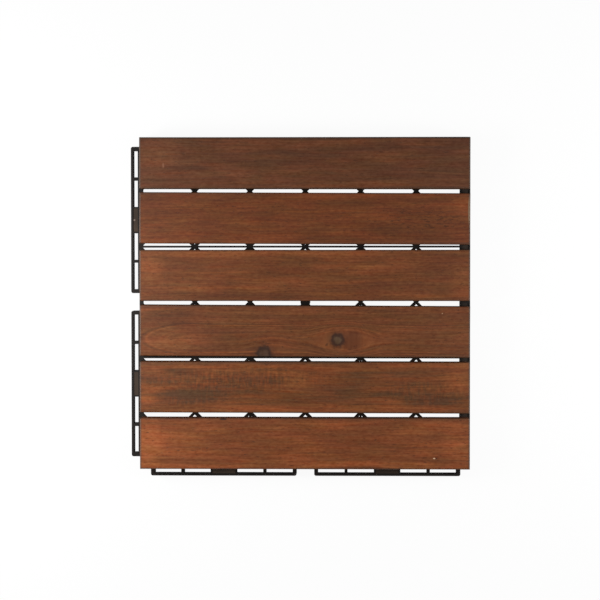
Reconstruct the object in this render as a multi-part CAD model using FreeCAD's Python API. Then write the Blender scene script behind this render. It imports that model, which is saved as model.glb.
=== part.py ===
import FreeCAD, Part
import math
import os

# Interlocking deck tile: six hardwood slats screwed from below to one moulded plastic base.
# Millimetres. The origin is the middle of the tile's module, on the ground. +Z is up, the slats
# run along X, and the loops that reach under the next tile stand out on -X and -Y.

# Module: the distance from one tile to the next when they are clipped together
module = 300.0

# Slats
slat_count = 6
slat_gap = 4.3
slat_thickness = 12.0
slat_setback_loops = 1.8
slat_setback_sockets = 1.2
slat_edge_round = 1.3
slat_under_chamfer = 0.6
# How far each slat was screwed down off its line: mm towards +Y, and degrees turned about +Z
slat_drift = ((-0.6, -0.1), (0.1, -0.25), (-0.8, 0.0), (-0.65, -0.3), (-1.0, -0.13), (-1.4, 0.0))

# Base: heights above the ground
base_height = 12.0
foot_drop = 2.5
deck_plate = 1.8

# Base: walls round the edge
rim_setback = 0.3
rim_wall = 1.8
rim_ledge = 3.5
rim_corner = 2.5
socket_corner = 1.0

# Base: lattice, whose ribs stop short of the rim's lower edge
diagonal_rib = 2.6
diagonal_rib_lift = 4.5
straight_rib = 1.7
straight_rib_lift = 1.5
straight_rib_lines = (-1, 1)

# Base: bosses that stand on the ground under each slat, and the plain post in the middle
boss_diameter = 10.4
boss_core = 7.6
boss_cap = 3.0
screw_seat = 6.0
middle_post_diameter = 8.7

# Loops on the -X and -Y sides
loop_inner_rail = 1.7
loop_slot_width = 4.1
loop_outer_rail = 2.1
loop_end_bar = 3.5
loop_cross_bar = 2.7
loop_plate_length = 23.8
loop_plate_sink = 0.3
loop_corner = 1.8
loop_spacing = 16.0
loop_corner_setback = 9.8

# Sockets on the +X and +Y sides, which drop over the next tile's loops
side_clearance = 0.1
socket_headroom = 0.6
socket_width = 5.8
socket_wall = 1.5
socket_roof_sink = 0.6
tongue_end_clearance = 0.75
tongue_tip = 0.6

# Screws
screw_shank = 3.5
screw_length = 14.0
screw_tip = 2.5
screw_head_diameter = 6.6
screw_head_height = 2.3
screw_head_edge = 1.1
screw_crown_diameter = 4.2
screw_hole_clearance = 0.25
pilot_clearance = 0.1
pilot_overrun = 1.0

# Small round pins and holes are many, so each is drawn with this many flats
round_sides = 12

# Worked out from the sizes above
slat_pitch = module / slat_count
slat_width = slat_pitch - slat_gap
rim_reach = module / 2 - rim_setback
rail_reach = rim_reach + loop_inner_rail
loop_reach = rail_reach + loop_slot_width + loop_outer_rail
roof_height = base_height - deck_plate
loop_top = roof_height - socket_headroom
loop_length = (module - loop_spacing) / 2 - loop_corner_setback
loop_bars = 2 * loop_end_bar + 2 * loop_cross_bar + loop_plate_length
loop_slot_length = (loop_length - loop_bars) / 4
loop_centre = (loop_spacing + loop_length) / 2
socket_reach = module - rail_reach - side_clearance
socket_outer = socket_reach - socket_wall
socket_inner = socket_outer - socket_width
frame_inner = socket_inner - socket_wall
skirt_inner = rim_reach - rim_wall
deck_height = base_height + slat_thickness
screw_seat_height = base_height - screw_seat
slat_ends = (slat_setback_loops - rim_reach, socket_reach - slat_setback_sockets)
slat_lines = [module / 2 - (row + 0.5) * slat_pitch for row in range(slat_count)]


def block(x_range, y_range, z_range):
    """A box between two places along each axis."""
    low = FreeCAD.Vector(x_range[0], y_range[0], z_range[0])
    size = [r[1] - r[0] for r in (x_range, y_range, z_range)]
    return Part.makeBox(size[0], size[1], size[2], low)


def ring(diameter, height, x=0.0, y=0.0):
    """The closed outline of a small round pin or hole at one height."""
    corners = []
    for corner in range(round_sides):
        angle = 2 * math.pi * (corner + 0.5) / round_sides
        across = FreeCAD.Vector(math.cos(angle), math.sin(angle), 0) * (diameter / 2)
        corners.append(FreeCAD.Vector(x, y, height) + across)
    return Part.makePolygon(corners + corners[:1])


def upright(diameter, x, y, z_range):
    """A small vertical pin or hole."""
    foot = Part.Face(ring(diameter, z_range[0], x, y))
    return foot.extrude(FreeCAD.Vector(0, 0, z_range[1] - z_range[0]))


def round_uprights(solid, radius, keep):
    """Rounds the vertical edges of a block whose middle satisfies keep(x, y)."""
    chosen = []
    for edge in solid.Edges:
        box = edge.BoundBox
        if box.ZLength > box.XLength + box.YLength and keep(box.XMin, box.YMin):
            chosen.append(edge)
    return solid.makeFillet(radius, chosen)


def quarter_turn(shape):
    """The same shape on the side a quarter turn anticlockwise."""
    turned = shape.copy()
    turned.rotate(FreeCAD.Vector(0, 0, 0), FreeCAD.Vector(0, 0, 1), 90)
    return turned


def on_both_sides(shapes):
    """Copies what stands on an X side to the Y side that has the same job."""
    return list(shapes) + [quarter_turn(shape) for shape in shapes]


def slot_starts():
    """Where each of a loop's four slots starts, from the loop's lower end."""
    step = loop_slot_length + loop_cross_bar
    second_half = loop_end_bar + step + loop_slot_length + loop_plate_length
    return [loop_end_bar, loop_end_bar + step, second_half, second_half + step]


def loop_ends():
    """The lower end of each of the two loops of a side."""
    return [-loop_centre - loop_length / 2, loop_centre - loop_length / 2]


def rim():
    """Skirt and ledge on the loop sides, and the roofed socket channels on the other two."""
    across = (-rim_reach, socket_reach)
    body = block(across, across, (foot_drop, base_height))
    body = round_uprights(body, socket_corner, lambda x, y: x > 0 and y > 0)
    body = round_uprights(body, rim_corner, lambda x, y: x < 0 or y < 0)
    inside = (-skirt_inner, frame_inner)
    below_ledge = block(inside, inside, (0, roof_height))
    window = (rim_ledge - rim_reach, frame_inner)
    through = block(window, window, (0, base_height))
    across_socket = (socket_inner, socket_outer)
    lower_half = (-skirt_inner, -socket_wall / 2)
    upper_half = (socket_wall / 2, frame_inner)
    hollows = []
    for heights in ((0, roof_height), (base_height - socket_roof_sink, base_height)):
        for half in (lower_half, upper_half):
            hollows.append(block(across_socket, half, heights))
            hollows.append(block(half, across_socket, heights))
        hollows.append(block(across_socket, across_socket, heights))
    return body.cut([below_ledge, through] + hollows)


def loop_passages():
    """Room in a socket's outer wall for the bars of the next tile's loops."""
    spare = 2 * tongue_end_clearance
    wall = (socket_outer, socket_reach)
    passages = []
    for low_end in loop_ends():
        span = (low_end - spare, low_end + loop_length + spare)
        passages.append(block(wall, span, (0, roof_height)))
    return on_both_sides(passages)


def tongues():
    """The tabs of a socket's outer wall that drop into the next tile's loop slots."""
    section = [
        FreeCAD.Vector(socket_outer, 0, roof_height),
        FreeCAD.Vector(socket_reach, 0, roof_height),
        FreeCAD.Vector(socket_reach, 0, foot_drop),
        FreeCAD.Vector(socket_outer + tongue_tip, 0, foot_drop),
        FreeCAD.Vector(socket_outer, 0, foot_drop + tongue_tip),
    ]
    face = Part.Face(Part.makePolygon(section + section[:1]))
    length = loop_slot_length - 2 * tongue_end_clearance
    tab = face.extrude(FreeCAD.Vector(0, length, 0))
    found = []
    for low_end in loop_ends():
        for start in slot_starts():
            place = FreeCAD.Vector(0, low_end + start + tongue_end_clearance, 0)
            found.append(tab.translated(place))
    return on_both_sides(found)


def lattice():
    """Crossing diagonal ribs: what is left of a plate when the cells between them are cut out."""
    low = -rim_reach + rim_wall / 2
    side = frame_inner + socket_wall / 2 - low
    height = base_height - foot_drop - diagonal_rib_lift
    plate = Part.makePlane(side, side, FreeCAD.Vector(low, low, base_height - height))
    strips = []
    for line in range(-slat_count + 1, slat_count):
        offset = line * slat_pitch / math.sqrt(2)
        corner = FreeCAD.Vector(offset - diagonal_rib / 2, -module, base_height - height)
        for turn in (45, 135):
            strip = Part.makePlane(diagonal_rib, 2 * module, corner)
            strip.rotate(FreeCAD.Vector(0, 0, 0), FreeCAD.Vector(0, 0, 1), turn)
            strips.append(strip)
    up = FreeCAD.Vector(0, 0, height)
    cells = [cell.extrude(up) for cell in plate.cut(strips).Faces]
    return plate.extrude(up).cut(cells)


def straight_ribs():
    """Thinner, deeper ribs that stiffen the lattice lengthwise and crosswise."""
    heights = (foot_drop + straight_rib_lift, base_height)
    span = (-rim_reach + rim_wall / 2, frame_inner + socket_wall / 2)
    ribs = []
    for line in straight_rib_lines:
        middle = line * slat_pitch
        strip = (middle - straight_rib / 2, middle + straight_rib / 2)
        ribs.append(block(strip, span, heights))
        ribs.append(block(span, strip, heights))
    return ribs


def boss_places():
    """The lattice crossings that lie under the middle line of a slat."""
    return [(x, y) for x in slat_lines for y in slat_lines]


def screw_columns():
    """The bosses along a slat that carry screws: one at each end and the two in the middle."""
    middle = slat_count // 2
    return [slat_lines[index] for index in (0, middle - 1, middle, slat_count - 1)]


def screw_places():
    """Every boss that carries a screw."""
    return [(x, y) for x, y in boss_places() if x in screw_columns()]


def bosses():
    """A boss under each slat crossing, and the plain post under the tile's middle."""
    posts = [upright(boss_diameter, x, y, (0, base_height)) for x, y in boss_places()]
    return posts + [Part.makeCylinder(middle_post_diameter / 2, base_height)]


def boss_cores():
    """The hollow up into each boss, and the hole for a screw where there is one."""
    cores = []
    for x, y in boss_places():
        if x in screw_columns():
            bore = screw_shank + 2 * screw_hole_clearance
            cores.append(upright(boss_core, x, y, (0, screw_seat_height)))
            cores.append(upright(bore, x, y, (screw_seat_height, base_height)))
        else:
            cores.append(upright(boss_core, x, y, (0, base_height - boss_cap)))
    return cores


def loop():
    """One loop of the -X side, from its lower end at y = 0."""
    heights = (foot_drop, loop_top)
    bar = block((-loop_reach, -rim_reach + rim_wall / 2), (0, loop_length), heights)
    bar = round_uprights(bar, loop_corner, lambda x, y: x < -rim_reach)
    slot_range = (-rail_reach - loop_slot_width, -rail_reach)
    slots = []
    for start in slot_starts():
        slots.append(block(slot_range, (start, start + loop_slot_length), heights))
    plate_start = slot_starts()[1] + loop_slot_length + loop_cross_bar / 2
    plate_end = slot_starts()[2] - loop_cross_bar / 2
    pan = block(slot_range, (plate_start, plate_end), (loop_top - loop_plate_sink, loop_top))
    return bar.cut(slots + [pan])


def loops():
    """Two loops on each of the -X and -Y sides."""
    one = loop()
    return on_both_sides([one.translated(FreeCAD.Vector(0, end, 0)) for end in loop_ends()])


def base_grid():
    """The whole moulding: rim, lattice, bosses, loops and sockets in one solid."""
    frame = rim().cut(loop_passages())
    pieces = [lattice()] + straight_ribs() + bosses() + loops() + tongues()
    return frame.fuse(pieces).cut(boss_cores()).removeSplitter()


def slat(row):
    """One slat with eased edges, drilled from below for its screws."""
    shift, turn = slat_drift[row % len(slat_drift)]
    half_width = slat_width / 2
    board = block(slat_ends, (-half_width, half_width), (base_height, deck_height))
    top_edges = [e for e in board.Edges if e.BoundBox.ZMin > deck_height - 0.1]
    board = board.makeFillet(slat_edge_round, top_edges)
    under_edges = []
    for edge in board.Edges:
        if edge.BoundBox.ZMax < base_height + 0.1 and edge.BoundBox.XLength > slat_width:
            under_edges.append(edge)
    board = board.makeChamfer(slat_under_chamfer, under_edges)
    board.rotate(FreeCAD.Vector(0, 0, 0), FreeCAD.Vector(0, 0, 1), turn)
    board.translate(FreeCAD.Vector(0, slat_lines[row] + shift, 0))
    pilot_top = screw_seat_height + screw_length + pilot_overrun
    pilot_bore = screw_shank + 2 * pilot_clearance
    pilots = []
    for x, y in screw_places():
        if y == slat_lines[row]:
            pilots.append(upright(pilot_bore, x, y, (base_height, pilot_top)))
    return board.cut(pilots)


def screw():
    """A pan-head wood screw on the Z axis, point up, its head's flat at the seat's height."""
    crown = screw_seat_height - screw_head_height
    head_rings = [
        ring(screw_crown_diameter, crown),
        ring(screw_head_diameter, screw_seat_height - screw_head_edge),
        ring(screw_head_diameter, screw_seat_height),
    ]
    point = screw_seat_height + screw_length
    shank_rings = [
        ring(screw_shank, screw_seat_height),
        ring(screw_shank, point - screw_tip),
        Part.Vertex(0, 0, point),
    ]
    head = Part.makeLoft(head_rings, True, True)
    return head.fuse(Part.makeLoft(shank_rings, True, True))


def screws():
    """All the screws, as separate solids."""
    one = screw()
    return Part.makeCompound([one.translated(FreeCAD.Vector(x, y, 0)) for x, y in screw_places()])


def write_parts():
    """Writes one file for each piece of the tile."""
    os.makedirs("parts", exist_ok=True)
    base_grid().exportStep("parts/base_grid.step")
    for row in range(slat_count):
        slat(row).exportStep(f"parts/slat_{row + 1}.step")
    screws().exportStep("parts/slat_screws.step")


write_parts()
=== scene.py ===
import math

import bpy
from mathutils import Matrix, Vector


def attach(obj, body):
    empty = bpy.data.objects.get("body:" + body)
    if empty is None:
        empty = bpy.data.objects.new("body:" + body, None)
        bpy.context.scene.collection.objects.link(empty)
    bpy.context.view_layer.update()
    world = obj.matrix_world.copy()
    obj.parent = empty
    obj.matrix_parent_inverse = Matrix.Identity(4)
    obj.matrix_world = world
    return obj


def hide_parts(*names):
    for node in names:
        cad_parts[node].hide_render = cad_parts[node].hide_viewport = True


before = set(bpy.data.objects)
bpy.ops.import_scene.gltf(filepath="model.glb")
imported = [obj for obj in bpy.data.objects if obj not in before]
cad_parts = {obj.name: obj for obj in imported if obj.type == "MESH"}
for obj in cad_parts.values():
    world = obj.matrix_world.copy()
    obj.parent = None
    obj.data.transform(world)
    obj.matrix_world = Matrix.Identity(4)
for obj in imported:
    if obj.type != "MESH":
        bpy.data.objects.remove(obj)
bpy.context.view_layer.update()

# The base is one piece of black polypropylene, with some recycled material in it, injection
# moulded. Its faces have the fine even grain of a spark-eroded mould, the sunk pans of the loops
# and the roof over the sockets a coarser and greyer one. The slats are screwed to it from below.
BASE_BLACK = "#19130f"
PAN_GREY = "#3d3127"
PAN_LEVELS_MM = ((9.3, 1.0), (11.4, 0.35))  # a height, and how much of the pans' look it has
LEVEL_SLACK_MM = 0.15
FLAT_ENOUGH = 0.9
# One pale spot on the upper left pan, a small grey oval.
PALE_SPOT_GREY = "#8c7a70"
PALE_SPOT_OVAL_MM, PALE_SPOT_FADE, PALE_SPOT_SHARE = (-154.6, 74.1, 0.9, 0.9), (0.4, 1.4), 0.8
BASE_ROUGHNESS, PAN_ROUGHNESS = 0.52, 0.7
BASE_IOR, BASE_SPECULAR = 1.49, 0.25
RAGGEDNESS = 1.6

# The flow of the melt leaves soft clouds. Here and below, a pattern's low and high are the
# values of its noise that get its two end tones.
FLOW_MM, FLOW_LOW, FLOW_HIGH = 20.0, 0.35, 0.65
FLOW_DARK, FLOW_PALE = 0.8, 1.25

# A mould's grain is about 0.1 mm. It is drawn a few times coarser, so that it shows.
MOULD_GRAIN_MM, PAN_GRAIN_MM = 0.35, 0.9
MOULD_GRAIN_BUMP, MOULD_GRAIN_DEPTH = 0.25, 0.0001


def add(tree, kind, inputs, **settings):
    """Adds one shader node, with its settings, values and links, and gives its outputs.

    Inputs go by name or by number. A map range takes its value, the two ends that it comes
    from (1 and 2) and the two that it goes to (3 and 4).
    """
    made = tree.nodes.new("ShaderNode" + kind)
    for name, value in settings.items():
        setattr(made, name, value)
    for name, value in inputs.items():
        if isinstance(value, bpy.types.NodeSocket):
            tree.links.new(value, made.inputs[name])
        else:
            made.inputs[name].default_value = value
    return made.outputs


def linear(colour):
    """An sRGB hex colour as the linear values that a shader takes."""
    parts = [int(colour[i:i + 2], 16) / 255 for i in (1, 3, 5)]
    return tuple(p / 12.92 if p < 0.04045 else ((p + 0.055) / 1.055) ** 2.4 for p in parts) + (1,)


def new_material(name):
    """A material with one shader, and the place on the piece in mm."""
    material = bpy.data.materials.new(name)
    material.use_nodes = True
    tree = material.node_tree
    shader = tree.nodes["Principled BSDF"]
    place = add(tree, "TexCoord", {})["Object"]
    place = add(tree, "Mapping", {"Vector": place, "Scale": (1000, 1000, 1000)})[0]
    return material, tree, shader, place


def within(tree, place, oval, fade, value, ragged=None):
    """A value in an oval, seen from above, that fades to zero round it.

    The oval is its x, y and two radii. The fade is where it begins and ends, in radii. A noise
    makes the outline ragged.
    """
    x, y, long, wide = oval
    begins, ends = fade
    offset = add(tree, "VectorMath", {0: place, 1: (x, y, 0)}, operation="SUBTRACT")[0]
    in_radii = {0: offset, 1: (1 / long, 1 / wide, 0)}
    offset = add(tree, "VectorMath", in_radii, operation="MULTIPLY")[0]
    distance = add(tree, "VectorMath", {0: offset}, operation="LENGTH")["Value"]
    if ragged:
        uneven = {0: ragged, 1: RAGGEDNESS, 2: distance}
        distance = add(tree, "Math", uneven, operation="MULTIPLY_ADD")[0]
        distance = add(tree, "Math", {0: distance, 1: RAGGEDNESS / 2}, operation="SUBTRACT")[0]
    fall = {0: distance, 1: begins, 2: ends, 3: value, 4: 0.0}
    return add(tree, "MapRange", fall, interpolation_type="SMOOTHSTEP")[0]


def moulded_polypropylene():
    """Near-black with a dull satin sheen, slightly uneven, greyer and duller in the pans, and
    with one pale spot on the upper left pan."""
    material, tree, shader, place = new_material("moulded_polypropylene")
    normal = add(tree, "SeparateXYZ", {0: add(tree, "NewGeometry", {})["Normal"]})["Z"]
    level = add(tree, "SeparateXYZ", {0: place})["Z"]
    faces_up = add(tree, "Math", {0: normal, 1: FLAT_ENOUGH}, operation="GREATER_THAN")[0]
    pans = 0.0
    for height, share in PAN_LEVELS_MM:
        near = {0: level, 1: height, 2: LEVEL_SLACK_MM}
        near = add(tree, "Math", near, operation="COMPARE")[0]
        pans = add(tree, "Math", {0: near, 1: share, 2: pans}, operation="MULTIPLY_ADD")[0]
    pans = add(tree, "Math", {0: pans, 1: faces_up}, operation="MULTIPLY")[0]

    black = add(tree, "MixRGB", {0: pans, 1: linear(BASE_BLACK), 2: linear(PAN_GREY)})[0]
    flow = add(tree, "TexNoise", {"Vector": place, "Scale": 1 / FLOW_MM, "Detail": 3.0})[0]
    flow = {0: flow, 1: FLOW_LOW, 2: FLOW_HIGH, 3: FLOW_DARK, 4: FLOW_PALE}
    flow = add(tree, "MapRange", flow)[0]
    black = add(tree, "VectorMath", {0: black, "Scale": flow}, operation="SCALE")[0]
    # One pale spot on the upper left pan.
    pale_spot = within(tree, place, PALE_SPOT_OVAL_MM, PALE_SPOT_FADE, PALE_SPOT_SHARE)
    black = add(tree, "MixRGB", {0: pale_spot, 1: black, 2: linear(PALE_SPOT_GREY)})[0]

    fine = {"Vector": place, "Scale": 1 / MOULD_GRAIN_MM, "Detail": 2.0}
    fine = add(tree, "TexNoise", fine)[0]
    coarse = {"Vector": place, "Scale": 1 / PAN_GRAIN_MM, "Detail": 2.0}
    coarse = add(tree, "TexNoise", coarse)[0]
    grain = add(tree, "MapRange", {0: pans, 3: fine, 4: coarse})[0]
    bump = {"Height": grain, "Strength": MOULD_GRAIN_BUMP, "Distance": MOULD_GRAIN_DEPTH}
    bump = add(tree, "Bump", bump)[0]
    rough = add(tree, "MapRange", {0: pans, 3: BASE_ROUGHNESS, 4: PAN_ROUGHNESS})[0]
    tree.links.new(black, shader.inputs["Base Color"])
    tree.links.new(rough, shader.inputs["Roughness"])
    tree.links.new(bump, shader.inputs["Normal"])
    shader.inputs["IOR"].default_value = BASE_IOR
    shader.inputs["Specular IOR Level"].default_value = BASE_SPECULAR
    return material


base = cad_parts["base_grid"]
base.data.materials.clear()
base.data.materials.append(moulded_polypropylene())
base.data.update()


# Twenty-four pan-head wood screws hold the slats. Each is cold-headed and thread-rolled from
# carbon steel wire and zinc plated. It goes up through a boss of the base and its head is seated
# inside the boss, so only the crown and its cross recess show from below.
ZINC = "#b9b3a2"
SCUFF_MM, SCUFF_LOW, SCUFF_HIGH = 0.625, 0.3, 0.7
SCUFF_DARK, SCUFF_PALE = 0.75, 1.1
SCUFF_SMOOTH, SCUFF_DULL = 0.28, 0.5

# Heights above the ground and radii, in metres, from the crown up to the point.
SCREW_SIDES = 24
CROWN_LOW, CROWN_EDGE, CROWN_FLAT_RADIUS, CROWN_RADIUS = 0.0037, 0.00382, 0.00126, 0.0021
HEAD_SHOULDER, HEAD_EDGE, HEAD_SEAT = 0.0043, 0.0049, 0.006
SHOULDER_RADIUS, HEAD_RADIUS = 0.002838, 0.0033
SHANK_TOP, SHANK_RUNOUT, SHANK_END_RADIUS = 0.0090, 0.0004, 0.001462
THREAD_TOP, POINT_START, POINT, POINT_RADIUS = 0.0180, 0.0175, 0.02, 0.0001
CORE_RADIUS, THREAD_RADIUS = 0.00115, 0.00172
THREAD_PITCH, THREAD_STEPS = 0.0015, 16
THREAD_HALF_WIDTH, THREAD_SUNK = 0.00042, 0.0002
RECESS_SIZE, RECESS_MIDDLE, RECESS_TAPER = (0.0034, 0.0009, 0.0018), 0.0041, 0.45
SMOOTH_UNDER = math.radians(35)
SCREW_X = (-0.125, -0.025, 0.025, 0.125)
SCREW_Y = (0.125, 0.075, 0.025, -0.025, -0.075, -0.125)
COLUMN_TURN, ROW_TURN = 37, 53


def nothing_selected():
    """Leaves edit mode and deselects all objects, so that an operator acts on one piece only."""
    if bpy.context.object and bpy.context.object.mode != "OBJECT":
        bpy.ops.object.mode_set(mode="OBJECT")
    bpy.ops.object.select_all(action="DESELECT")


def apply_modifiers(piece):
    """Turns the modifiers of a piece into mesh."""
    bpy.context.view_layer.objects.active = piece
    for modifier in list(piece.modifiers):
        bpy.ops.object.modifier_apply(modifier=modifier.name)


def turned_solid(name, profile, sides):
    """A solid of revolution about Z, drawn up ring by ring from a disc."""
    nothing_selected()
    radius, height = profile[0]
    bpy.ops.mesh.primitive_circle_add(
        vertices=sides, radius=radius, fill_type="NGON", location=(0, 0, height)
    )
    bpy.ops.object.transform_apply(location=True)
    piece = bpy.context.object
    piece.name = name
    bpy.ops.object.mode_set(mode="EDIT")
    for next_radius, next_height in profile[1:]:
        rise = {"value": (0, 0, next_height - height)}
        bpy.ops.mesh.extrude_region_move(TRANSFORM_OT_translate=rise)
        factor = next_radius / radius
        bpy.ops.transform.resize(value=(factor, factor, 1), center_override=(0, 0, next_height))
        radius, height = next_radius, next_height
    bpy.ops.mesh.select_all(action="SELECT")
    bpy.ops.mesh.normals_make_consistent(inside=False)
    bpy.ops.object.mode_set(mode="OBJECT")
    return piece


def rolled_thread():
    """One helical ridge, from just past the shank to near the point.

    Its profile is an even triangle with the crest outwards, narrowed to the thread's width.
    """
    nothing_selected()
    root = CORE_RADIUS - THREAD_SUNK
    reach = (THREAD_RADIUS - root) * 2 / 3
    bpy.ops.mesh.primitive_circle_add(
        vertices=3, radius=reach, fill_type="NOTHING",
        location=(root + reach / 2, 0, SHANK_TOP), rotation=(-math.pi / 2, math.pi / 6, 0),
    )
    bpy.ops.object.transform_apply(location=True, rotation=True, scale=True)
    ridge = bpy.context.object
    bpy.ops.object.mode_set(mode="EDIT")
    narrowing = THREAD_HALF_WIDTH / (reach * math.sin(math.pi / 3))
    bpy.ops.transform.resize(value=(1, 1, narrowing), center_override=(0, 0, SHANK_TOP))
    bpy.ops.object.mode_set(mode="OBJECT")
    turns = (THREAD_TOP - SHANK_TOP) / THREAD_PITCH
    helix = ridge.modifiers.new("helix", "SCREW")
    helix.angle = 2 * math.pi * turns
    helix.screw_offset = THREAD_PITCH * turns
    helix.steps = helix.render_steps = int(THREAD_STEPS * turns)
    apply_modifiers(ridge)
    bpy.ops.object.mode_set(mode="EDIT")
    bpy.ops.mesh.select_all(action="DESELECT")
    bpy.ops.mesh.select_non_manifold(extend=False)
    bpy.ops.mesh.edge_face_add()
    bpy.ops.mesh.select_all(action="SELECT")
    bpy.ops.mesh.normals_make_consistent(inside=False)
    bpy.ops.object.mode_set(mode="OBJECT")
    return ridge


def cross_cutter():
    """Two crossed tapered blades, the shape that the heading punch leaves in the crown."""
    nothing_selected()
    blades = []
    for turn in (0, math.pi / 2):
        bpy.ops.mesh.primitive_cube_add(
            size=1, scale=RECESS_SIZE, location=(0, 0, RECESS_MIDDLE), rotation=(0, 0, turn)
        )
        bpy.ops.object.transform_apply(location=True, rotation=True, scale=True)
        blade = bpy.context.object
        bpy.ops.object.mode_set(mode="EDIT")
        bpy.ops.mesh.select_all(action="DESELECT")
        bpy.ops.object.mode_set(mode="OBJECT")
        for vertex in blade.data.vertices:
            vertex.select = vertex.co.z > RECESS_MIDDLE
        bpy.ops.object.mode_set(mode="EDIT")
        taper = (RECESS_TAPER, RECESS_TAPER, 1)
        bpy.ops.transform.resize(value=taper, center_override=(0, 0, 0))
        bpy.ops.object.mode_set(mode="OBJECT")
        blades.append(blade)
    return blades


def zinc_plated_steel():
    """A dull, slightly yellow white metal with soft scuffs from the plating barrel."""
    material, tree, shader, place = new_material("zinc_plated_steel")
    scuffs = add(tree, "TexNoise", {"Vector": place, "Scale": 1 / SCUFF_MM, "Detail": 4.0})[0]
    tone = {0: scuffs, 1: SCUFF_LOW, 2: SCUFF_HIGH, 3: SCUFF_DARK, 4: SCUFF_PALE}
    tone = add(tree, "MapRange", tone)[0]
    tint = add(tree, "VectorMath", {0: linear(ZINC)[:3], "Scale": tone}, operation="SCALE")[0]
    rough = {0: scuffs, 1: SCUFF_LOW, 2: SCUFF_HIGH, 3: SCUFF_SMOOTH, 4: SCUFF_DULL}
    rough = add(tree, "MapRange", rough)[0]
    tree.links.new(tint, shader.inputs["Base Color"])
    tree.links.new(rough, shader.inputs["Roughness"])
    shader.inputs["Metallic"].default_value = 1.0
    return material


head_and_shank = (
    (CROWN_FLAT_RADIUS, CROWN_LOW),
    (CROWN_RADIUS, CROWN_EDGE),
    (SHOULDER_RADIUS, HEAD_SHOULDER),
    (HEAD_RADIUS, HEAD_EDGE),
    (HEAD_RADIUS, HEAD_SEAT),
    (THREAD_RADIUS, HEAD_SEAT),
    (SHANK_END_RADIUS, SHANK_TOP),
    (CORE_RADIUS, SHANK_TOP + SHANK_RUNOUT),
    (CORE_RADIUS, POINT_START),
    (POINT_RADIUS, POINT),
)
model_screw = turned_solid("screw", head_and_shank, SCREW_SIDES)
for blade in cross_cutter():
    cut = model_screw.modifiers.new("recess", "BOOLEAN")
    cut.operation = "DIFFERENCE"
    cut.object = blade
    apply_modifiers(model_screw)
    bpy.data.objects.remove(blade)
thread = rolled_thread()
nothing_selected()
thread.select_set(True)
model_screw.select_set(True)
bpy.context.view_layer.objects.active = model_screw
bpy.ops.object.join()
bpy.ops.object.shade_smooth_by_angle(angle=SMOOTH_UNDER)
model_screw.data.materials.clear()
model_screw.data.materials.append(zinc_plated_steel())
for row, y in enumerate(SCREW_Y):
    for column, x in enumerate(SCREW_X):
        screw = model_screw.copy()
        screw.data = model_screw.data.copy()
        screw.name = f"screw_{row + 1}_{column + 1}"
        bpy.context.scene.collection.objects.link(screw)
        turn = math.radians(COLUMN_TURN * column + ROW_TURN * row)
        screw.data.transform(Matrix.Translation((x, y, 0)) @ Matrix.Rotation(turn, 4, "Z"))
        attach(screw, "root")
        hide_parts("slat_screws")
bpy.data.objects.remove(model_screw)


# Six acacia slats, sawn, planed, eased along their edges with a router and dipped in a reddish
# brown oil. Each is another board, with its own place in the log, its own tone and its own marks.
# Grain sizes are in mm, along the slat and across it.
SLAT_MIDDLE_X_MM, SLAT_TOP_MM = -0.3, 24.0
WOOD_LOW, WOOD_HIGH, WOOD_DULL, WOOD_SMOOTH = 0.3, 0.7, 0.62, 0.48
WOOD_IOR, WOOD_SPECULAR = 1.47, 0.35

# Where each board lies in the log, and how its grain wanders and parts round a knot.
BOARDS_APART_MM, RINGS_APART = (371.0, 97.0), 11.0
WANDER_MM, WANDER_BY_MM = (130.0, 35.0), 7.0
KNOT_PULL_FADE = (0.9, 3.3)

# The bands of tone and of hue.
RING_MM, RING_SHARE = 4.5, 0.7
STREAK_MM, STREAK_SHARE = (80.0, 1.9), 0.8
CLOUD_MM, CLOUD_SHARE = (48.0, 9.0), 1.1
CURL_MM, CURL_LOW, CURL_HIGH = (2.4, 9.0), 0.35, 0.65
CURL_DARK, CURL_PALE = -1.0, 0.6
CURL_FADE, PATCH_FADE = (0.3, 1.3), (0.2, 1.3)
HUE_MM, HUE_LOW, HUE_HIGH = (32.0, 7.0), 0.38, 0.62
REDDER, DULLER = (1.05, 0.96, 0.96, 1), (0.95, 1.02, 0.94, 1)

# The knots: where each zone fades, and how much of its tone it has.
KNOT_SHADE_FADE, KNOT_SHADE_SHARE = (0.7, 2.0), 0.45
KNOT_RING_FADE, KNOT_RING_SHARE = (0.8, 1.25), 0.8
KNOT_HEART_FADE, KNOT_HEART_SHARE = (0.3, 0.8), 0.85
SMUDGE_MM, SMUDGE_LOW, SMUDGE_HIGH = 3.5, 0.3, 0.7

# Real fibres and pores are about 0.2 mm wide. They are drawn four to six times coarser, so that
# they show.
FIBRE_MM, FIBRE_SHARE = (48.0, 1.3), 1.2
MOTTLE_MM, MOTTLE_SHARE = (4.0, 1.8), 1.1
# The pale fibres are greyer from a painted sheen as well as paler in their own tone.
PALE_FIBRE_AND_SHEEN, DARK_FIBRE = (1.28, 1.50, 2.00, 1), (0.72, 0.50, 0.00, 1)
PORE_BROWN, PORE_MM, PORE_SHARE = "#341803", (4.5, 0.8), 0.6
PORE_EDGE, PORE_FADE = 0.66, 0.06
COARSE_FADE, COARSE_BY = (0.4, 1.2), 0.1
PORE_DEPTH, WOOD_BUMP, WOOD_DEPTH = -1.5, 0.4, 0.00012

# The painted shade and sheen of the eased ends and long edges, as distances from the middle of
# the slat, and the flecks, most of them marks of wear.
EASED_SHADE_AND_SHEEN = "#40352b"
EASED_FROM_MM, EASED_TO_MM, EASED_SHARES = (145.7, 21.2), (146.8, 22.3), (0.7, 0.4)
FLECK_FADE, FLECK_SHARE = (0.6, 1.2), 0.9


def stretched_noise(tree, place, size, detail):
    """Noise drawn out along the slat: its grain size is in mm along and across."""
    along, across = size
    scale = (1 / along, 1 / across, 1 / across)
    stretched = add(tree, "Mapping", {"Vector": place, "Scale": scale})[0]
    settings = {"Vector": stretched, "Scale": 1.0, "Detail": detail, "Roughness": 0.55}
    return add(tree, "TexNoise", settings)


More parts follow.
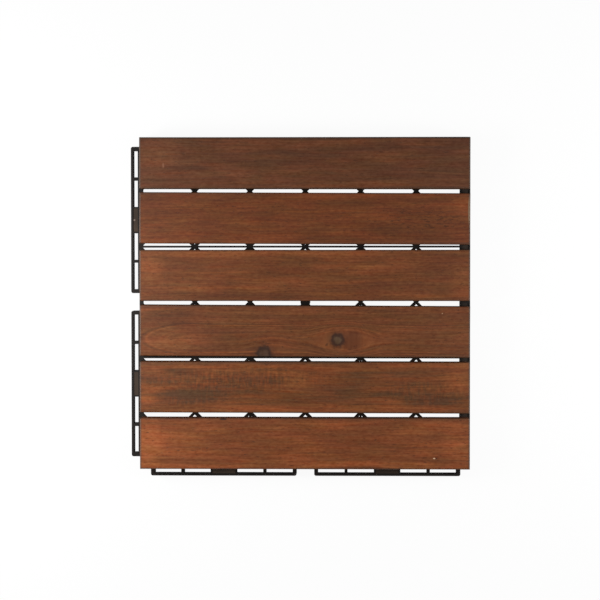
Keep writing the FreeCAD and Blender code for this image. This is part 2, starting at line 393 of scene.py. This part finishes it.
def flowing_grain(tree, place, in_log, knots):
    """The place as the fibres have it: they part round a knot and wander along the board."""
    grain = place
    for x, y, radius, reach, bend, _, _ in knots:
        pull = within(tree, place, (x + radius, y, radius * reach, radius), KNOT_PULL_FADE, bend)
        offset = add(tree, "VectorMath", {0: place, 1: (x, y, 0)}, operation="SUBTRACT")[0]
        offset = add(tree, "VectorMath", {0: offset, 1: (0, 1, 0)}, operation="MULTIPLY")[0]
        offset = add(tree, "VectorMath", {0: offset, "Scale": pull}, operation="SCALE")[0]
        grain = add(tree, "VectorMath", {0: grain, 1: offset}, operation="SUBTRACT")[0]
    wander = add(tree, "VectorMath", {0: place, 1: in_log}, operation="ADD")[0]
    wander = stretched_noise(tree, wander, WANDER_MM, 2.0)["Color"]
    wander = add(tree, "VectorMath", {0: wander, 1: (0.5, 0.5, 0.5)}, operation="SUBTRACT")[0]
    aside = {0: wander, 1: (0, WANDER_BY_MM, WANDER_BY_MM)}
    wander = add(tree, "VectorMath", aside, operation="MULTIPLY")[0]
    return add(tree, "VectorMath", {0: grain, 1: wander}, operation="ADD")[0]


def pith_distance(tree, grain, pith, crown):
    """How far the wood is from the middle of its tree, in mm.

    The pith is given by its place across and up, and by its lean. Where the saw cuts through the
    crown of a ring, the rings close in a long arch, given by its start, its middle line, its
    length and its width.
    """
    x, y, z = add(tree, "SeparateXYZ", {0: grain})
    if crown:
        start, middle, long, wide = crown
        arch = {0: x, 1: start - long, 2: start, 3: wide, 4: 0.0}
        x = add(tree, "MapRange", arch, clamp=False)[0]
        x = add(tree, "Math", {0: x, 1: 0.0}, operation="MAXIMUM")[0]
        y = add(tree, "Math", {0: y, 1: middle}, operation="SUBTRACT")[0]
        offset = add(tree, "CombineXYZ", {0: x, 1: y, 2: 0.0})[0]
    else:
        pith_y, pith_z, lean = pith
        y = add(tree, "Math", {0: y, 1: pith_y}, operation="SUBTRACT")[0]
        z = add(tree, "Math", {0: z, 1: pith_z}, operation="SUBTRACT")[0]
        z = add(tree, "Math", {0: x, 1: lean, 2: z}, operation="MULTIPLY_ADD")[0]
        offset = add(tree, "CombineXYZ", {0: 0.0, 1: y, 2: z})[0]
    return add(tree, "VectorMath", {0: offset}, operation="LENGTH")["Value"]


def layered(tree, layers):
    """Noises added up by their shares, about a middle of one half."""
    total = 0.5 - sum(share for _, share in layers) / 2
    for layer, share in layers:
        total = add(tree, "Math", {0: layer, 1: share, 2: total}, operation="MULTIPLY_ADD")[0]
    return total


def oiled_acacia(name, middle_y, tones, board, pith=None, crown=None, arches=(), curl=(),
                 patches=(), knots=(), coarse=(), flecks=()):
    """Close straight grain in bands of brown and red, paler and darker fibres, open pores, and
    a low satin sheen of oil."""
    material, tree, shader, place = new_material(name)
    middle = (SLAT_MIDDLE_X_MM, middle_y, SLAT_TOP_MM)
    place = add(tree, "VectorMath", {0: place, 1: middle}, operation="SUBTRACT")[0]
    in_log = tuple(board * apart for apart in BOARDS_APART_MM) + (0,)
    grain = flowing_grain(tree, place, in_log, knots)
    wood = add(tree, "VectorMath", {0: grain, 1: in_log}, operation="ADD")[0]

    # The bands of the growth rings, finer streaks and soft clouds make the tone.
    from_pith = pith_distance(tree, grain, pith, crown)
    ring = {0: from_pith, 1: 1 / RING_MM, 2: board * RINGS_APART}
    ring = add(tree, "Math", ring, operation="MULTIPLY_ADD")[0]
    rings = {"W": ring, "Scale": 1.0, "Detail": 3.0}
    rings = add(tree, "TexNoise", rings, noise_dimensions="1D")[0]
    streaks = stretched_noise(tree, wood, STREAK_MM, 3.0)[0]
    clouds = stretched_noise(tree, wood, CLOUD_MM, 2.0)[0]
    bands = ((rings, RING_SHARE), (streaks, STREAK_SHARE), (clouds, CLOUD_SHARE))
    tone = layered(tree, bands)
    for radius, width, change in arches:
        line = add(tree, "Math", {0: from_pith, 1: radius}, operation="SUBTRACT")[0]
        line = add(tree, "Math", {0: line}, operation="ABSOLUTE")[0]
        line = add(tree, "MapRange", {0: line, 1: 0.0, 2: width, 3: change, 4: 0.0})[0]
        tone = add(tree, "Math", {0: tone, 1: line}, operation="ADD")[0]
    for *oval, change in curl:
        bars = stretched_noise(tree, wood, CURL_MM, 1.0)[0]
        bars = {0: bars, 1: CURL_LOW, 2: CURL_HIGH, 3: CURL_DARK, 4: CURL_PALE}
        bars = add(tree, "MapRange", bars)[0]
        here = within(tree, place, oval, CURL_FADE, change, clouds)
        tone = add(tree, "Math", {0: bars, 1: here, 2: tone}, operation="MULTIPLY_ADD")[0]
    for *oval, change in patches:
        here = within(tree, grain, oval, PATCH_FADE, change, clouds)
        tone = add(tree, "Math", {0: tone, 1: here}, operation="ADD")[0]
    colour = add(tree, "ValToRGB", {0: tone})[0]
    stops = colour.node.color_ramp.elements
    stops[0].color, stops[1].color = linear(tones[0]), linear(tones[2])
    stops.new(0.5).color = linear(tones[1])
    hue = stretched_noise(tree, wood, HUE_MM, 2.0)[0]
    hue = add(tree, "MapRange", {0: hue, 1: HUE_LOW, 2: HUE_HIGH})[0]
    hue = add(tree, "MixRGB", {0: hue, 1: DULLER, 2: REDDER})[0]
    colour = add(tree, "MixRGB", {0: 1.0, 1: colour, 2: hue}, blend_type="MULTIPLY")[0]

    # A knot has a soft shade round it, a dark ring and a paler heart.
    smudge = add(tree, "TexNoise", {"Vector": place, "Scale": 1 / SMUDGE_MM, "Detail": 1.0})[0]
    smudge = {0: smudge, 1: 0.0, 2: 1.0, 3: SMUDGE_LOW, 4: SMUDGE_HIGH}
    smudge = add(tree, "MapRange", smudge)[0]
    for x, y, radius, _, _, ring_tone, heart_tone in knots:
        zones = (
            (KNOT_SHADE_FADE, KNOT_SHADE_SHARE, ring_tone),
            (KNOT_RING_FADE, KNOT_RING_SHARE, ring_tone),
            (KNOT_HEART_FADE, KNOT_HEART_SHARE, heart_tone),
        )
        for fade, share, tint in zones:
            here = within(tree, place, (x, y, radius, radius), fade, share, smudge)
            colour = add(tree, "MixRGB", {0: here, 1: colour, 2: linear(tint)})[0]

    # Single fibres lie paler or darker, partly in their own tone and partly under a painted sheen
    # that greys the pale ones, and the open pores between them are brown.
    fibres = stretched_noise(tree, wood, FIBRE_MM, 2.0)[0]
    mottle = stretched_noise(tree, wood, MOTTLE_MM, 1.0)[0]
    gleam = layered(tree, ((fibres, FIBRE_SHARE), (mottle, MOTTLE_SHARE)))
    gleam = add(tree, "MixRGB", {0: gleam, 1: DARK_FIBRE, 2: PALE_FIBRE_AND_SHEEN})[0]
    colour = add(tree, "MixRGB", {0: 1.0, 1: colour, 2: gleam}, blend_type="MULTIPLY")[0]
    edge = PORE_EDGE
    for oval in coarse:
        here = within(tree, place, oval, COARSE_FADE, -COARSE_BY, clouds)
        edge = add(tree, "Math", {0: here, 1: edge}, operation="ADD")[0]
    pores = stretched_noise(tree, wood, PORE_MM, 1.0)[0]
    pores = add(tree, "Math", {0: pores, 1: edge}, operation="SUBTRACT")[0]
    pores = add(tree, "MapRange", {0: pores, 1: 0.0, 2: PORE_FADE, 3: 0.0, 4: PORE_SHARE})[0]
    colour = add(tree, "MixRGB", {0: pores, 1: colour, 2: linear(PORE_BROWN)})[0]

    # The eased edges and ends get a painted shade and sheen, darker and greyer. A few flecks are
    # marks of wear, one is a painted highlight on an end and one is a painted shadow beside a
    # speck.
    for axis, start, end, share in zip("XY", EASED_FROM_MM, EASED_TO_MM, EASED_SHARES):
        out = add(tree, "SeparateXYZ", {0: place})[axis]
        out = add(tree, "Math", {0: out}, operation="ABSOLUTE")[0]
        out = add(tree, "MapRange", {0: out, 1: start, 2: end, 3: 0.0, 4: share})[0]
        colour = add(tree, "MixRGB", {0: out, 1: colour, 2: linear(EASED_SHADE_AND_SHEEN)})[0]
    for *oval, tint in flecks:
        here = within(tree, place, oval, FLECK_FADE, FLECK_SHARE)
        colour = add(tree, "MixRGB", {0: here, 1: colour, 2: linear(tint)})[0]

    height = {0: pores, 1: PORE_DEPTH, 2: fibres}
    height = add(tree, "Math", height, operation="MULTIPLY_ADD")[0]
    bump = {"Height": height, "Strength": WOOD_BUMP, "Distance": WOOD_DEPTH}
    bump = add(tree, "Bump", bump)[0]
    rough = {0: streaks, 1: WOOD_LOW, 2: WOOD_HIGH, 3: WOOD_DULL, 4: WOOD_SMOOTH}
    rough = add(tree, "MapRange", rough)[0]
    tree.links.new(colour, shader.inputs["Base Color"])
    tree.links.new(rough, shader.inputs["Roughness"])
    tree.links.new(bump, shader.inputs["Normal"])
    shader.inputs["IOR"].default_value = WOOD_IOR
    shader.inputs["Specular IOR Level"].default_value = WOOD_SPECULAR
    return material


# Each board: its tones run from dark to pale, and its places are in mm from the middle of its
# face. An arch is a radius, a width and how much paler it is. Curls, patches, coarse pores and
# flecks begin with their oval. A knot is its x, y and radius, how many radii along it bends the
# grain, how much it bends it, and the tones of its ring and its heart.
slats = {
    "slat_1": oiled_acacia(
        "acacia_dark_brown", 124.4, ("#472611", "#562f16", "#6a3b1d"), 1,
        pith=(6, -60, 0.02),
        patches=(
            # The last patch here, at the left end, is pale partly in the board's own tone and
            # partly as painted light and sheen from the left lamp.
            (85, 13, 70, 2.5, -0.3), (0, -19, 140, 4, 0.25), (-132, 4, 22, 12, 0.45),
            # The last patch, along the outer long edge, is dark as painted shade of the eased
            # edge.
            (-105, -4, 26, 2, -0.35), (0, 22.6, 300, 1.2, -0.6),
        ),
        flecks=((-125.9, -2.1, 0.9, 2.4, "#7a4f38"),),
    ),
    "slat_2": oiled_acacia(
        "acacia_red_brown", 75.1, ("#54290b", "#623110", "#7a3f19"), 2,
        pith=(-14, -45, -0.03),
        patches=(
            (-70, 13, 12, 5, -0.2), (-34, 4, 9, 4, -0.2), (-88, -3, 14, 4, -0.2),
            # The last patch here, at the right end, is pale partly in the board's own tone and
            # partly as painted light and sheen from the right lamp.
            (65, -5, 8, 4, -0.2), (98, -12, 55, 8, -0.15), (140, 13, 12, 9, 0.4),
        ),
        coarse=((108, -1, 48, 12),),
        # This fleck, a pale grey line along the right end, is a painted highlight of the eased
        # end.
        flecks=((146.3, 6.8, 0.9, 12.0, "#75604a"),),
    ),
    "slat_3": oiled_acacia(
        "acacia_warm_brown", 24.2, ("#542b0e", "#643514", "#7c431d"), 3,
        pith=(10, -40, 0.05),
        patches=(
            # The last patch on this line and the last on the next, at the two ends, are pale
            # partly in the board's own tone and partly as painted light and sheen from the lamps.
            (-60, 20, 100, 3.5, 0.5), (70, 20, 90, 3, 0.25), (-138, 6, 16, 16, 0.45),
            (-106, -11.5, 30, 2.5, 0.45), (0, -19, 150, 4, -0.2), (140, -3, 12, 18, 0.25),
        ),
    ),
    "slat_4": oiled_acacia(
        "acacia_knotty", -25.65, ("#512a0e", "#633515", "#79421d"), 4,
        crown=(-95, -6.2, 50, 12.9),
        arches=((12.0, 0.5, 0.4), (13.2, 0.6, -0.4), (8.5, 0.5, 0.2)),
        patches=(
            # The last patch here, at the left end, is pale partly in the board's own tone and
            # partly as painted light and sheen from the left lamp.
            (40, -8, 34, 4.0, 0.35), (45, -8, 7, 2.6, -0.45), (-122, -10, 32, 9, 0.4),
            (-48, -16, 12, 2, -0.35), (-120, 14, 26, 5, -0.12),
        ),
        knots=(
            (29.7, -7.8, 6.0, 2.2, 0.93, "#261006", "#513a24"),
            (-36.1, -20, 6.6, 1.4, 0.4, "#241309", "#4a3222"),
        ),
        flecks=((122.7, 16, 0.6, 0.5, "#a58466"),),
    ),
    "slat_5": oiled_acacia(
        "acacia_curly", -76.0, ("#4f2f16", "#6b3916", "#894920"), 5,
        pith=(-8, -70, 0.02),
        curl=((-62, 8, 80, 12, 0.28), (-100, -8, 40, 9, 0.18), (112, -4, 40, 12, 0.2)),
        patches=(
            (-107, 12, 22, 5, -0.35), (-98, -6, 48, 6, -0.5), (30, -5, 50, 8, -0.3),
            (110, -8, 45, 6, -0.3), (0, 18, 150, 3, 0.25), (0, -19, 150, 3, 0.3),
            # Both patches here, at the two ends, are pale partly in the board's own tone and
            # partly as painted light and sheen from the lamps.
            (-140, -11, 10, 4, 0.5), (138, 6, 16, 12, 0.3),
        ),
    ),
    "slat_6": oiled_acacia(
        "acacia_orange_brown", -126.4, ("#5c2e11", "#713b19", "#8f4d24"), 6,
        pith=(4, -50, -0.04),
        patches=(
            # The first two patches here, at the left end, and the first on the next line, at the
            # right end, are pale partly in the board's own tone and partly as painted light and
            # sheen from the lamps.
            (-125, 0, 40, 20, 0.25), (-142, 0, 16, 24, 0.5), (0, -19, 150, 4, 0.25),
            # The last patch, along the outer long edge, is dark as painted shade of the eased
            # edge.
            (138, 0, 18, 20, 0.35), (0, -22.6, 300, 1.2, -0.5),
        ),
        flecks=(
            # The dark fleck just right of the pale speck is its painted shadow.
            (115.7, -12.8, 1.1, 0.7, "#c9a888"), (117.7, -12.8, 0.7, 0.6, "#3a2015"),
            (-72.7, 22, 3.6, 0.8, "#2c1a12"),
        ),
    ),
}
for node, wood in slats.items():
    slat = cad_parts[node]
    slat.data.materials.clear()
    slat.data.materials.append(wood)
    slat.data.update()


# The studio: a white floor that fades into a white background and still takes some of the tile's
# shadow, two large soft lamps, and a camera straight above the tile, a step towards its back
# right corner.
FLOOR_WHITE = "#f2f2f2"
FLOOR_SIZE, FLOOR_SHINE = 30, 0.93
AIR_LIGHT, AIR_SEEN = 0.25, 1.0
LAMPS = (  # name, place, width and power
    ("left_lamp", (-0.46, 0.00, 0.30), 0.28, 2.9),
    ("right_lamp", (0.54, 0.00, 0.36), 0.30, 2.4),
)
CAMERA_PLACE, CAMERA_AIM = Vector((0.030, 0.040, 1.085)), Vector((0.015, 0.020, 0.012))
SENSOR_MM, LENS_MM = 36, 71.456
SHIFT_X, SHIFT_Y = -0.0364, -0.0335

nothing_selected()
bpy.ops.mesh.primitive_plane_add(size=FLOOR_SIZE, location=(0, 0, 0))
floor = bpy.context.object
floor.name = "floor"
paper, tree, shader, _ = new_material("floor_paper")
tree.nodes.remove(shader)
matt = add(tree, "BsdfDiffuse", {"Color": linear(FLOOR_WHITE)})[0]
shine = add(tree, "Emission", {"Color": (1, 1, 1, 1), "Strength": 1.0})[0]
seen = add(tree, "LightPath", {})["Is Camera Ray"]
seen = add(tree, "Math", {0: seen, 1: FLOOR_SHINE}, operation="MULTIPLY")[0]
both = add(tree, "MixShader", {0: seen, 1: matt, 2: shine})[0]
tree.links.new(both, tree.nodes["Material Output"].inputs["Surface"])
floor.data.materials.append(paper)

for name, spot, size, power in LAMPS:
    nothing_selected()
    bpy.ops.object.light_add(type="AREA", location=spot)
    lamp = bpy.context.object
    lamp.name = name
    lamp.data.shape = "DISK"
    lamp.data.size = size
    lamp.data.energy = power
    lamp.rotation_euler = (-Vector(spot)).to_track_quat("-Z", "Y").to_euler()

world = bpy.data.worlds.new("studio_air")
bpy.context.scene.world = world
world.use_nodes = True
sky = world.node_tree
path = add(sky, "LightPath", {})
seen = {0: path["Is Camera Ray"], 1: path["Is Transmission Ray"]}
seen = add(sky, "Math", seen, operation="MAXIMUM")[0]
strength = add(sky, "MapRange", {0: seen, 3: AIR_LIGHT, 4: AIR_SEEN})[0]
sky.links.new(strength, sky.nodes["Background"].inputs["Strength"])
sky.nodes["Background"].inputs["Color"].default_value = (1, 1, 1, 1)

bpy.ops.object.camera_add(location=CAMERA_PLACE)
camera = bpy.context.object
back = (CAMERA_PLACE - CAMERA_AIM).normalized()
right = (Vector((1, 0, 0)) - back * back.x).normalized()
turned = Matrix((right, back.cross(right), back)).transposed().to_4x4()
camera.matrix_world = Matrix.Translation(CAMERA_PLACE) @ turned
camera.data.sensor_width = SENSOR_MM
camera.data.lens = LENS_MM
camera.data.shift_x = SHIFT_X
camera.data.shift_y = SHIFT_Y
bpy.context.scene.camera = camera
bpy.context.scene.view_settings.view_transform = "Standard"
